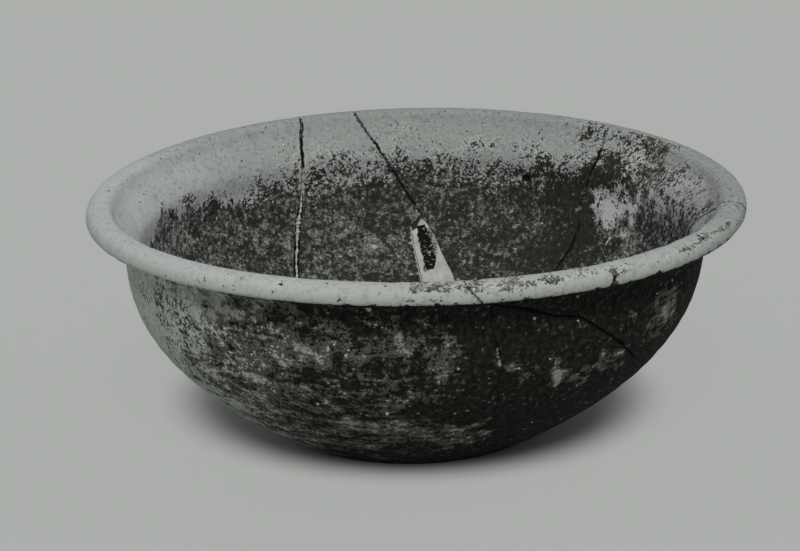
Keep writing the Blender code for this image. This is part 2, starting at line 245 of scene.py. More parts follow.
# How raggedly the finishes end, by reach, size in millimetres and seed of each noise
RAGGED_TURN = [(9.0, 13.0, 21.0), (6.0, 5.0, 25.0)]
RAGGED_HEIGHT = [(7.0, 13.0, 27.0), (5.0, 5.0, 29.0)]
RAGGED_LIP = [(1.6, 4.0, 31.0), (1.0, 2.0, 33.0)]
PATCH_FULL = 0.45
PATCH_LOST = 1.25

# Chalky deposit on the outer face round the bowl, and how it falls off with height: none at 0, closed at 1
OUTER_COVER = [(-180, 0.28), (-135, 0.45), (-100, 0.74), (-78, 0.70), (-66, 0.62), (-56, 0.54), (-48, 0.43),
               (-40, 0.31), (-30, 0.22), (-15, 0.14), (0, 0.10), (8, 0.04), (35, 0.00), (62, 0.04),
               (80, 0.04), (115, 0.12), (150, 0.20)]
OUTER_COVER_BY_HEIGHT = [(0, -0.45), (8, -0.30), (16, -0.12), (24, 0.0), (78, 0.0), (84, -0.10), (88, -0.20)]
OUTER_FALL = [(-180, 1.0), (-110, 0.2), (-58, 0.15), (-48, 0.35), (-32, 0.7), (-20, 1.0), (90, 1.0)]

# Thin grey film on the outer face, in the same way
OUTER_FILM = [(-180, 0.55), (-135, 0.80), (-100, 1.22), (-70, 1.18), (-58, 1.00), (-50, 0.84), (-38, 0.70),
              (-28, 0.60), (-18, 0.50), (-8, 0.44), (2, 0.38), (7, 0.22), (11, 0.04), (35, -0.05), (45, 0.00),
              (60, 0.06), (85, 0.10), (115, 0.30), (150, 0.45)]
OUTER_FILM_BY_HEIGHT = [(0, -0.40), (8, -0.25), (16, -0.05), (24, 0.0), (76, 0.0), (84, -0.20), (88, -0.30)]
LIP_FILM = 1.0
LIP_EDGE_FROM = 91.0
LIP_EDGE_FULL = 94.5

# Patches on the outer face: azimuth, height, half width, half height and how much more deposit or film
OUTER_PATCHES = [(32, 54, 5, 8, 0.16), (43, 54, 4, 6, 0.22), (54, 70, 6, 6, 0.14), (12, 26, 8, 6, 0.26),
                 (-44, 75, 5, 6, 0.18), (-33, 56, 5, 5, 0.18), (-24, 66, 6, 7, 0.10), (-34, 70, 4, 5, 0.08),
                 (-3, 50, 5, 6, 0.06), (9, 48, 5, 6, 0.10)]
OUTER_HAZE = [(31, 53, 6, 9, 0.75), (29, 46, 5, 5, 0.30), (43, 55, 5, 7, 0.68), (54, 70, 7, 9, 0.66),
              (12, 26, 9, 7, 0.60), (-6, 30, 14, 8, 0.22), (-44, 75, 6, 7, 0.25), (-33, 56, 6, 6, 0.22),
              (-24, 68, 8, 8, 0.16), (-4, 74, 7, 4, 0.10), (4, 72, 5, 5, 0.32), (5, 60, 6, 6, 0.22),
              (19, 58, 4, 5, 0.42), (29, 74, 6, 3, 0.32), (30, 32, 8, 7, 0.10), (62, 60, 7, 9, 0.22),
              (22, 42, 4, 6, 0.30), (-40, 86, 14, 6, 0.30), (-38, 64, 3, 7, -0.22), (-15, 56, 4, 8, -0.20)]

# Deposit on the lip round the bowl, the stains where it is worn together with painted shade along the lip's
# inner edge, under its lower edge at the right, in a crack and in its pits, and how much of the film they
# take
LIP_COVER = [(-180, 0.92), (-160, 0.96), (-145, 1.10), (-125, 1.28), (-110, 1.35), (-90, 1.35), (-30, 1.25),
             (-5, 1.16), (10, 1.08), (25, 1.08), (40, 1.12), (60, 0.98), (75, 0.84), (90, 0.84), (120, 0.80),
             (135, 0.76), (150, 0.88)]
LIP_STAINS_AND_SHADE = [(1.5, 99, 3, 1.3, -0.66), (5.5, 98.9, 3, 1.5, -0.66), (10.5, 98.7, 3, 1.9, -0.75),
              (17, 98.4, 4, 2.0, -0.80), (23.5, 98.6, 3.5, 1.6, -0.66), (30, 99, 4, 1.4, -0.52),
              # From azimuth 53 on: painted shade along the lip's inner edge, where the wall meets it
              (37, 98.5, 3, 1.8, -0.48), (53, 98.6, 4, 1.0, -0.60), (60, 99, 5, 0.9, -0.65),
              (67, 98.7, 4, 0.8, -0.55), (76, 96.3, 9, 0.7, -0.50), (79, 99, 4, 0.8, -0.35),
              # Painted shade under the lip's lower edge at the right, and in the crack of the front rim join
              # across the lip
              (66, 92.5, 28, 1.7, -0.45), (35, 93.6, 1.2, 2.0, -0.60), (35, 97.4, 1.1, 2.4, -0.62),
              (0.2, 95.1, 1.4, 0.9, -0.80), (4, 95.0, 1.6, 0.9, -0.70),
              # Painted shade in the pits on the lip, then one stain at -60
              (-28.5, 99.0, 0.6, 0.8, -1.1), (-21.4, 98.6, 0.6, 0.8, -1.0), (-35.5, 98.6, 0.5, 0.7, -0.9),
              (-11.2, 95.1, 0.6, 0.8, -1.0), (0.5, 98.2, 0.6, 0.8, -0.9), (-60, 92, 3, 1.0, -0.3)]
STAIN_AND_SHADE_ON_FILM = 0.45

# How thick and so how pale the deposit lies round the bowl, and where inside it is thicker; the last patch is
# painted light, lifting the shaded inner left wall
PALENESS = [(-180, 0.0), (-160, 0.03), (-140, 0.18), (-120, 0.46), (-100, 0.70), (-30, 0.60), (0, 0.46),
            (25, 0.43), (45, 0.46), (60, 0.28), (75, 0.10), (135, 0.0)]
PALE_PATCHES = [(126, 70, 7, 13, 1.0), (112, 80, 4, 9, 0.6), (102, 88, 8, 8, 0.25), (126, 90, 6, 5, 0.35),
                # Painted light on the inner left wall, which lies in shade
                (258, 80, 14, 7, 0.15)]

# Height where half of the inside is pale, how softly that changes, and the least cover below it
INNER_PALE_ABOVE = [(-90, 63), (-60, 66), (-30, 72), (0, 74), (30, 76), (60, 80), (90, 84), (100, 84),
                    (108, 84), (116, 92), (124, 92), (134, 96), (142, 84), (148, 79), (156, 77), (166, 77),
                    (175, 79), (186, 78), (195, 75), (203, 75), (212, 76), (225, 73), (235, 76), (243, 79),
                    (249, 79), (254, 77), (262, 68)]
INNER_PALE_SPREAD = [(-90, 5), (0, 10), (90, 18), (125, 18), (145, 15), (175, 16), (205, 17), (225, 12),
                     (238, 6), (248, 4), (262, 3)]
INNER_COVER_BELOW = [(-90, 0.20), (0, 0.15), (90, 0.24), (110, 0.28), (124, 0.26), (133, 0.06), (142, 0.08),
                     (156, 0.15), (180, 0.12), (210, 0.12), (230, 0.16), (242, 0.25), (254, 0.32)]

# Patches of deposit and film inside, the film round the bowl, and how far above the pale line it is full
INNER_PATCHES = [(128, 76, 4.5, 9, 0.46), (124, 69, 4, 6, 0.42), (128, 62, 4, 6, 0.50),
                 (112, 80, 2.5, 6, 0.42), (104, 76, 6, 10, 0.14), (128, 89, 4, 5, 0.18),
                 (191, 44, 5, 6, 0.15), (200, 66, 6, 7, 0.14), (158, 72, 10, 7, 0.10),
                 (137, 60, 4, 30, -0.10), (122, 96, 2.5, 4, -0.35), (118, 90, 2.5, 5, -0.25)]
INNER_FILM = [(-90, 0.35), (0, 0.35), (90, 0.42), (110, 0.46), (124, 0.42), (133, 0.00), (142, 0.15),
              (156, 0.32), (175, 0.34), (195, 0.38), (230, 0.36), (242, 0.46), (254, 0.56)]
INNER_HAZE = [(126, 70, 7, 13, 0.25), (113, 78, 5, 9, 0.20), (191, 44, 6, 7, 0.30), (168, 74, 10, 8, 0.15)]
INNER_FILM_FADE = 14.0
# Painted shade: a near-black patch in the deep pit inside, by azimuth, height, half width, half height and
# strength
INNER_PIT_SHADE = [(152.4, 73.7, 1.4, 1.8, 0.75)]

# Plaster smears and dark stains, by join and whether inside, the dark ones along the joins glue lines with
# painted shade where the cracks stand open: from and to height, half width and strength
JOIN_SMEARS = {
    ("back_left", True): [(70, 90, 2.2, 0.35)],
    ("back_right", True): [(62, 92, 1.2, 0.22)],
    ("back", True): [(52, 60, 1.2, 0.25)],
    ("fill_side", True): [(20, 50, 1.0, 0.45)],
    ("front_low", False): [(60, 70, 0.6, 0.40)],
}
# Dark lines along the joins: glue, with painted shade where the cracks stand open
JOIN_GLUE_AND_SHADE = {
    ("front_long", False): [(51, 91, 1.0, 0.6), (91, 101, 0.7, 0.6)],
    ("front_rim", False): [(90, 97, 1.4, 0.6)],
    ("front_low", False): [(20, 40, 0.6, 0.4)],
    ("back", True): [(55, 101, 0.8, 0.75)],
    ("back_right", True): [(20, 101, 0.8, 0.9)],
    ("back_left", True): [(80, 101, 0.9, 0.9), (30, 62, 1.7, 0.9)],
    ("right", True): [(60, 101, 0.9, 0.7)],
    ("right", False): [(60, 101, 0.9, 0.7)],
}
PLASTER_STAINS = [(179.4, 51.6, 1.6, 3.4, 1.0), (178.0, 54.6, 2.6, 2.6, 0.6), (175.2, 46.0, 1.3, 5.0, 0.46),
                  (173.6, 41.0, 1.2, 4.0, 0.42), (175.6, 33.5, 1.2, 2.0, 0.46)]

# Finishes
CHALK_THICK = "#C0C4C0"
CHALK = "#8B8F8B"
CHALK_DULL = "#6E716D"
CHALK_PIT = "#474945"
CLAY = "#2A2B26"
CLAY_DARK = "#13140F"
FILM = "#8B8E89"
FILM_THIN = "#4C4E49"
GRIT = "#C2C4BE"
SMEAR = "#9FA19C"
# Near-black of the glue lines, and of the painted shade in open cracks and in the inner pit
GLUE_AND_SHADE_DARK = "#0F100C"
PLASTER = "#B4B6B1"
PLASTER_LOW = "#9B9D98"
PLASTER_PORE = "#75776F"
DRY_SPECULAR = 0.10
NOISE_ROUGHNESS = 0.6
SOFT_STEP = {"interpolation_type": "SMOOTHSTEP"}
FINE_RELIEF = 0.13 * MM
SHARP_EDGE = radians(40.0)

# Studio
BACKDROP = "#ADB0AC"
FLOOR = "#ADB0AC"
FLOOR_RADIUS = 6.0
FLOOR_SIDES = 96
FLOOR_DROP = 0.05 * MM
SHADOW_CENTRE = (1.0 * MM, 33.0 * MM, 0.0)
SHADOW_FULL = 74.0 * MM
SHADOW_LOST = 104.0 * MM
SHADOW_LEFT = 0.10
FILL_LIGHT = "#FFFFFF"
FILL_STRENGTH = 0.36
LIGHTS = [("key_light", -3.0, 43.0, 1.68, 22.0), ("side_light", 80.0, 68.0, 0.50, 30.0)]

# Camera, from the outline of the bowl in the photograph
PHOTO_WIDTH = 800
PHOTO_HEIGHT = 551
SENSOR_WIDTH = 36.0
CAMERA_ELEVATION = 18.10
CAMERA_DISTANCE = 1.25
CAMERA_ROLL = 0.71
TARGET = (0.0, 0.0, 0.0471)
TARGET_PIXEL = (410.8, 307.4)
PIXELS_PER_METRE = 2602.0


def bezier(points, count):
    """Points along a Bezier curve of any order, without the first one."""
    result = []
    for step in range(1, count + 1):
        level = list(points)
        while len(level) > 1:
            level = [start.lerp(end, step / count) for start, end in zip(level, level[1:])]
        result.append(level[0])
    return result


def body_point(height):
    """Outer face of the body: upright at the neck and shallow at the foot."""
    share = height / NECK_HEIGHT
    reach = 1.0 - (1.0 - share) ** BODY_FULLNESS
    return Vector((FOOT_RADIUS + (NECK_RADIUS - FOOT_RADIUS) * reach, height))


def inner_body_point(height):
    """Inner face, square through the wall from the outer face at this height."""
    share = height / NECK_HEIGHT
    lean = (NECK_RADIUS - FOOT_RADIUS) * BODY_FULLNESS * (1.0 - share) ** (BODY_FULLNESS - 1.0) / NECK_HEIGHT
    square = Vector((-1.0, lean)).normalized()
    return body_point(height) + square * (WALL_AT_FOOT + (WALL_AT_NECK - WALL_AT_FOOT) * share)


def body_rows(face, start):
    """Points of one face of the body from a height up to the neck."""
    return [face(height) for height in numpy.linspace(start, NECK_HEIGHT, CURVE_POINTS * 3)[1:]]


def evenly(points, spacing):
    """The same line with points at an even spacing."""
    places = numpy.array(points)
    lengths = numpy.concatenate([[0.0], numpy.cumsum(numpy.linalg.norm(numpy.diff(places, axis=0), axis=1))])
    even = numpy.linspace(0.0, lengths[-1], max(2, round(lengths[-1] / spacing) + 1))
    return [Vector(place) for place in zip(*(numpy.interp(even, lengths, column) for column in places.T))]


def outer_section():
    """Radius and height from the middle of the base up the outer side to the crest of the lip."""
    start = FOOT_SOFTENING / 2.0
    base_edge = Vector((FOOT_RADIUS - FOOT_SOFTENING, 0.0))
    crest = Vector((RIM_RADIUS - LIP_CREST_INSET, RIM_HEIGHT))
    edge = Vector((RIM_RADIUS - LIP_EDGE_INSET, RIM_HEIGHT - LIP_EDGE_DROP))
    widest = Vector((RIM_RADIUS, RIM_HEIGHT - LIP_WIDEST_DROP))
    wall = [base_edge] + bezier([base_edge, Vector((FOOT_RADIUS, 0.0)), body_point(start)], CURVE_POINTS)
    wall += body_rows(body_point, start)
    neck = wall[-1]
    flare = [neck, neck + Vector((0.0, NECK_SWEEP)), edge - Vector((LIP_SWEEP, 0.0)), edge]
    wall += bezier(flare, CURVE_POINTS)
    wall += bezier([edge, Vector((RIM_RADIUS, edge.y)), widest], CURVE_POINTS)
    wall += bezier([widest, Vector((RIM_RADIUS, RIM_HEIGHT)), crest], CURVE_POINTS)
    return evenly([Vector((0.0, 0.0)), base_edge], FLOOR_ROW)[:-1] + evenly(wall, WALL_ROW)


def inner_section():
    """Radius and height from the middle of the floor up the inner side to the crest of the lip."""
    heights = numpy.linspace(0.0, NECK_HEIGHT, CURVE_POINTS)
    corner = numpy.interp(FLOOR_THICKNESS, [inner_body_point(height).y for height in heights], heights)
    start = corner + FLOOR_SOFTENING / 2.0
    floor_corner = Vector((inner_body_point(corner).x, FLOOR_THICKNESS))
    floor_edge = floor_corner - Vector((FLOOR_SOFTENING, 0.0))
    shoulder = Vector((RIM_RADIUS - LIP_SHOULDER_INSET, RIM_HEIGHT - LIP_SHOULDER_DROP))
    crest = Vector((RIM_RADIUS - LIP_CREST_INSET, RIM_HEIGHT))
    slope = Vector((0.5, 1.0))
    wall = [floor_edge] + bezier([floor_edge, floor_corner, inner_body_point(start)], CURVE_POINTS)
    wall += body_rows(inner_body_point, start)
    neck = wall[-1]
    flare = [neck, neck + Vector((0.0, NECK_SWEEP)), shoulder - slope * SHOULDER_SWEEP, shoulder]
    wall += bezier(flare, CURVE_POINTS)
    wall += bezier([shoulder, shoulder + slope * LIP_SHOULDER_DROP, crest], CURVE_POINTS)
    return evenly([Vector((0.0, FLOOR_THICKNESS)), floor_edge], FLOOR_ROW)[:-1] + evenly(wall, WALL_ROW)


OUTER = outer_section()
INNER = inner_section()


def seen_from_break_centre(section):
    """Bearing from straight down, and distance, of each point of a section."""
    points = numpy.array(section)
    fall = BREAK_CENTRE.z - points[:, 1]
    return numpy.arctan2(points[:, 0], fall), numpy.hypot(points[:, 0], fall)


OUTER_BEARINGS, OUTER_DISTANCES = seen_from_break_centre(OUTER)
INNER_BEARINGS, INNER_DISTANCES = seen_from_break_centre(INNER)
OUTER_HEIGHTS = numpy.array([point.y for point in OUTER])


def ray_to(azimuth, percent):
    """Direction from the break centre to a place on the wall, and the distances to its two faces."""
    height = RIM_HEIGHT * percent / 100.0
    level = min(height, RIM_HEIGHT - LIP_WIDEST_DROP)
    radius = numpy.interp(level, OUTER_HEIGHTS, [point.x for point in OUTER])
    bearing = atan2(radius, BREAK_CENTRE.z - height)
    turn = radians(azimuth)
    ray = Vector((sin(bearing) * sin(turn), -sin(bearing) * cos(turn), -cos(bearing)))
    outer = numpy.interp(bearing, OUTER_BEARINGS, OUTER_DISTANCES)
    inner = numpy.interp(bearing, INNER_BEARINGS, INNER_DISTANCES)
    return ray, outer, inner


def out_of_true(points):
    """Where points of the true bowl lie once the soft clay has sagged; the base stays as it is."""
    turn = numpy.arctan2(points[:, 0], -points[:, 1])
    share = points[:, 2] / RIM_HEIGHT
    lobes = RIM_LOBES * numpy.cos(3.0 * (turn - radians(RIM_LOBES_AZIMUTH)))
    saddle = RIM_SADDLE * numpy.cos(2.0 * (turn - radians(RIM_SADDLE_AZIMUTH)))
    widening = 1.0 + share * (lobes + RIM_SHIFT * numpy.sin(turn)) / RIM_RADIUS
    lift = share * (saddle + RIM_TILT * numpy.sin(turn))
    return numpy.column_stack([points[:, 0] * widening, points[:, 1] * widening, points[:, 2] + lift])


def coordinates(mesh):
    """Places of a mesh's vertices as an array."""
    values = numpy.empty(len(mesh.vertices) * 3)
    mesh.vertices.foreach_get("co", values)
    return values.reshape(-1, 3)


def add_object(name, shape):
    """Object made from a bmesh, which is freed."""
    mesh = bpy.data.meshes.new(name)
    shape.to_mesh(mesh)
    shape.free()
    piece = bpy.data.objects.new(name, mesh)
    bpy.context.scene.collection.objects.link(piece)
    return piece


def turned_bowl():
    """The whole bowl, turned from its section: one sector first, and then its copies round the axis."""
    shape = bmesh.new()
    points = [shape.verts.new((point.x, 0.0, point.y)) for point in OUTER + INNER[-2::-1]]
    edges = [shape.edges.new(pair) for pair in zip(points, points[1:])]
    sector = 2.0 * pi / SECTORS
    bmesh.ops.spin(shape, geom=points + edges, axis=(0, 0, 1), cent=(0, 0, 0), angle=sector,
                   steps=SECTOR_STEPS)
    whole = shape.verts[:] + shape.edges[:] + shape.faces[:]
    bmesh.ops.spin(shape, geom=whole, axis=(0, 0, 1), cent=(0, 0, 0), angle=2.0 * pi - sector,
                   steps=SECTORS - 1, use_duplicate=True)
    bmesh.ops.remove_doubles(shape, verts=shape.verts, dist=SAME_POINT)
    bmesh.ops.recalc_face_normals(shape, faces=shape.faces)
    return add_object("whole_bowl", shape)


def break_line(name):
    """Azimuth and height of points close together along a break."""
    places = []
    path = BREAKS[name]
    for start, end in zip(path, path[1:]):
        start_ray, start_reach, _ = ray_to(*start)
        end_ray, end_reach, _ = ray_to(*end)
        length = (start_ray * start_reach - end_ray * end_reach).length
        count = max(1, round(length / BREAK_STEP))
        for step in range(count):
            places.append(tuple(numpy.add(start, numpy.subtract(end, start) * step / count)))
    places.append(path[-1])
    return places


def chip_at(chips, azimuth, percent):
    """How much wider the break is at a place, from the chips near it."""
    ray, outer, _ = ray_to(azimuth, percent)
    wider = 0.0
    for chip_azimuth, chip_percent, half_width, reach in chips:
        chip_ray, chip_outer, _ = ray_to(chip_azimuth, chip_percent)
        away = (ray * outer - chip_ray * chip_outer).length / (reach * MM)
        wider = max(wider, half_width * MM * max(0.0, 1.0 - away * away))
    return wider


def swinging(spot, swings):
    """Sum of soft noises at a place in millimetres, each with its swings to the millimetre and its share."""
    return sum(noise.noise(spot * rate) * share for rate, share in swings)


def worn_arris(arris, spot):
    """Half width of a worn arris, rough along its run."""
    return arris * max(ARRIS_LEAST, 1.0 + ARRIS_ROUGHNESS * noise.noise(spot))


def blade_profile(name, place, spot, outer, inner):
    """Distance from the break centre and half width of a blade, from outside the wall to inside it."""
    arris = MM * numpy.interp(place[1], *zip(*ARRIS_WIDTHS[name]))
    worn = worn_arris(arris, spot * ARRIS_SWINGS + ARRIS_SHIFT) + chip_at(OUTER_CHIPS.get(name, []), *place)
    worn_inside = worn_arris(arris, spot * ARRIS_SWINGS - ARRIS_SHIFT)
    wall = max(outer - inner, WALL_AT_NECK)
    inner = outer - wall
    depth = min(ARRIS_DEPTH + worn, wall * ARRIS_WALL_SHARE)
    depth_inside = min(ARRIS_DEPTH, wall * ARRIS_WALL_SHARE)
    flare = worn * (1.0 + BLADE_OUT / depth)
    flare_inside = worn_inside * (1.0 + BLADE_IN / depth_inside)
    return [(outer + BLADE_OUT, flare), (outer - depth, HAIRLINE / 2.0),
            (inner + depth_inside, HAIRLINE / 2.0), (inner - BLADE_IN, flare_inside)]


def break_blade(name):
    """Cutter along a break: a hairline in the wall that flares at both faces and wanders as a crack does."""
    places = break_line(name)
    closed = places[-1][0] - places[0][0] == 360.0
    if closed:
        places.pop()
    rays = [ray_to(*place) for place in places]
    surface = [ray * outer for ray, outer, _ in rays]
    last = len(places) - 1
    shape = bmesh.new()
    rings = []
    for index, (ray, outer, inner) in enumerate(rays):
        before, after = index - 1, index + 1
        if not closed:
            before, after = max(before, 0), min(after, last)
        along = (surface[after % len(places)] - surface[before]).normalized()
        across = along.cross(ray).normalized()
        spot = surface[index] / MM
        end = 0.0 if closed else {0: -1.0, last: 1.0}.get(index, 0.0)
        wander = across * swinging(spot, WANDER_SWINGS) * BREAK_WANDER
        centre = BREAK_CENTRE + along * end * BREAK_OVERSHOOT + wander
        profile = blade_profile(name, places[index], spot, outer, inner)
        ring = [shape.verts.new(centre + ray * reach + across * half) for reach, half in profile]
        ring += [shape.verts.new(centre + ray * reach - across * half) for reach, half in profile[::-1]]
        rings.append(ring)
    join_rings(shape, rings, closed)
    return add_object("break_" + name, shape)


def join_rings(shape, rings, closed=False):
    """Close a tube over rings of vertices, with a face on each end unless it runs round to its start."""
    loops = []
    for ring in rings:
        sides = zip(ring, ring[1:] + ring[:1])
        loops.append([shape.edges.get(side) or shape.edges.new(side) for side in sides])
    for loop, next_loop in zip(loops, loops[1:] + loops[:1] if closed else loops[1:]):
        bmesh.ops.bridge_loops(shape, edges=loop + next_loop)
    if not closed:
        bmesh.ops.holes_fill(shape, edges=loops[0] + loops[-1], sides=0)
    bmesh.ops.recalc_face_normals(shape, faces=shape.faces)


def place_on_wall(points):
    """Azimuth, height in percent and share of the way from the outer to the inner face, for each point."""
    radius = numpy.hypot(points[:, 0], points[:, 1])
    fall = BREAK_CENTRE.z - points[:, 2]
    bearing = numpy.arctan2(radius, fall)
    outer = numpy.interp(bearing, OUTER_BEARINGS, OUTER_DISTANCES)
    inner = numpy.interp(bearing, INNER_BEARINGS, INNER_DISTANCES)
    share = (outer - numpy.hypot(radius, fall)) / numpy.maximum(outer - inner, MM)
    percent = numpy.interp(bearing, OUTER_BEARINGS, OUTER_HEIGHTS) / RIM_HEIGHT * 100.0
    return numpy.degrees(numpy.arctan2(points[:, 0], -points[:, 1])), percent, share


def wall_point(azimuth, percent, inner_side):
    """Place on a face of the wall."""
    ray, outer, inner = ray_to(azimuth, percent)
    return BREAK_CENTRE + ray * (inner if inner_side else outer)


def cloud(points, size, seed):
    """Soft noise about zero at each point, with features of about this size."""
    shift = Vector((seed, seed * 0.7, seed * 1.3))
    return numpy.array([noise.noise(Vector(point) / size + shift) for point in points])


def ragged(values, points, noises):
    """Values with soft noises added to them, each with its reach, size in millimetres and seed."""
    for reach, size, seed in noises:
        values = values + reach * cloud(points, size * MM, seed)
    return values


def fade(values, low, high):
    """0 below one value, 1 above the other, and smooth between them."""
    share = numpy.clip((values - low) / (high - low), 0.0, 1.0)
    return share * share * (3.0 - 2.0 * share)


def pits():
    """Middle, radius and depth of each pit where grit has burst out or the clay is chipped."""
    draw = random.Random(PIT_SEED)
    found = []
    for _ in range(PIT_COUNT):
        azimuth, percent = draw.uniform(-180.0, 180.0), draw.uniform(*PIT_HEIGHTS)
        inner_side = draw.random() < 0.5
        radius, depth = draw.uniform(*PIT_RADII) * MM, draw.uniform(*PIT_DEPTHS) * MM
        found.append((wall_point(azimuth, percent, inner_side), radius, depth))
    for side, azimuth, percent, radius, depth in SEEN_PITS:
        found.append((wall_point(azimuth, percent, side == "inside"), radius * MM, depth * MM))
    return found


def roughen(bowl):
    """Lumps, dents, turning marks and grain of a hand-turned coarse ware; the lip and base only lose clay."""
    mesh = bowl.data
    points = coordinates(mesh)
    normals = numpy.empty(len(points) * 3)
    mesh.vertex_normals.foreach_get("vector", normals)
    _, percent, _ = place_on_wall(points)
    lip = fade(percent, LIP_FROM, LIP_FULL)
    swing = cloud(points, MARK_SWING_SIZE, 3.0)
    marks = numpy.sin(2.0 * pi * points[:, 2] / MARK_SPACING + MARK_SWING * swing)
    marks = marks * numpy.clip(MARK_MEAN + swing, MARK_LEAST, 1.0)
    relief = ragged(MARK * marks * (1.0 - lip), points, LUMPS)
    relief -= LIP_NICK * lip * fade(cloud(points, LIP_NICK_SIZE, 11.0), *LIP_NICK_NOISE)
    held = numpy.maximum(lip, 1.0 - fade(points[:, 2], BASE_FULL, BASE_TO))
    relief = numpy.where(relief > 0.0, relief * (1.0 - held), relief * (1.0 - LOSS_HELD * held))
    tree = kdtree.KDTree(len(points))
    for index, point in enumerate(points):
        tree.insert(point, index)
    tree.balance()
    for centre, radius, depth in pits():
        for _, index, distance in tree.find_range(centre, radius):
            relief[index] -= depth * (1.0 - (distance / radius) ** 2) ** 1.5
    points += normals.reshape(-1, 3) * relief[:, None]
    mesh.vertices.foreach_set("co", points.ravel())
    mesh.update()


def cut_away(piece, cutters):
    """Take the cutters out of a piece; the cutters are removed."""
    for cutter in cutters:
        cut = piece.modifiers.new(cutter.name, "BOOLEAN")
        cut.operation = "DIFFERENCE"
        cut.solver = "MANIFOLD"
        cut.object = cutter
    bpy.context.view_layer.update()
    graph = bpy.context.evaluated_depsgraph_get()
    mesh = bpy.data.meshes.new_from_object(piece.evaluated_get(graph))
    piece.modifiers.clear()
    piece.data = mesh
    for cutter in cutters:
        bpy.data.objects.remove(cutter)
    close_slivers(mesh)


def close_slivers(mesh):
    """Collapse the slivers that a cut leaves, and drop faces on one edge only and faces back to back."""
    shape = bmesh.new()
    shape.from_mesh(mesh)
    bmesh.ops.dissolve_degenerate(shape, dist=CUT_SLIVER, edges=shape.edges)
    bmesh.ops.triangulate(shape, faces=[face for face in shape.faces if len(face.verts) > 4])
    bmesh.ops.dissolve_degenerate(shape, dist=CUT_SLIVER, edges=shape.edges)
    faces_on = {}
    for face in shape.faces:
        faces_on.setdefault(frozenset(face.verts), []).append(face)
    stray = [face for twins in faces_on.values() if len(twins) > 1 for face in twins]
    stray += [face for face in shape.faces if sum(edge.is_boundary for edge in face.edges) > 1]
    bmesh.ops.delete(shape, geom=stray, context="FACES")
    shape.to_mesh(mesh)
    shape.free()


def nearest_distance(body, place):
    """Distance from a place to the nearest vertex of a body."""
    return numpy.linalg.norm(coordinates(body.data) - numpy.array(place), axis=1).min()


def break_bowl(bowl):
    """Break the bowl and name each sherd by the place that lies in it; crumbs of the breaks are dropped."""
    cut_away(bowl, [break_blade(name) for name in BREAKS])
    bpy.ops.object.select_all(action="DESELECT")
    bpy.context.view_layer.objects.active = bowl
    bowl.select_set(True)
    bpy.ops.mesh.separate(type="LOOSE")
    bodies = list(bpy.context.selected_objects)
    found = {}
    for name, (azimuth, percent) in PIECES.items():
        inside = wall_point(azimuth, percent, False) if percent else Vector()
        found[name] = min(bodies, key=lambda body: nearest_distance(body, inside))
        bodies.remove(found[name])
    for chip in bodies:
        bpy.data.objects.remove(chip)
    return found


def join_tree():
    """Every join's run on both faces, to look up how near a point is and at what height."""
    runs = []
    for name in BREAKS:
        for azimuth, percent in break_line(name):
            for inner_side in (False, True):
                runs.append((wall_point(azimuth, percent, inner_side), name, percent, inner_side))
    tree = kdtree.KDTree(len(runs))
    for index, run in enumerate(runs):
        tree.insert(run[0], index)
    tree.balance()
    return tree, runs


def patched(values, patches, azimuth, percent):
    """Values over the wall with soft-edged patches added to them."""
    for centre, height, half_width, half_height, strength in patches:
        turn = (azimuth - centre + 180.0) % 360.0 - 180.0
        away = numpy.hypot(turn / half_width, (percent - height) / half_height)
        values = values + strength * (1.0 - fade(away, PATCH_FULL, PATCH_LOST))
    return values


def round_bowl(azimuth, places):
    """Value at each azimuth, read between the places of a list that runs round the bowl."""
    turns, values = zip(*places)
    return numpy.interp(azimuth, turns, values, period=360.0)


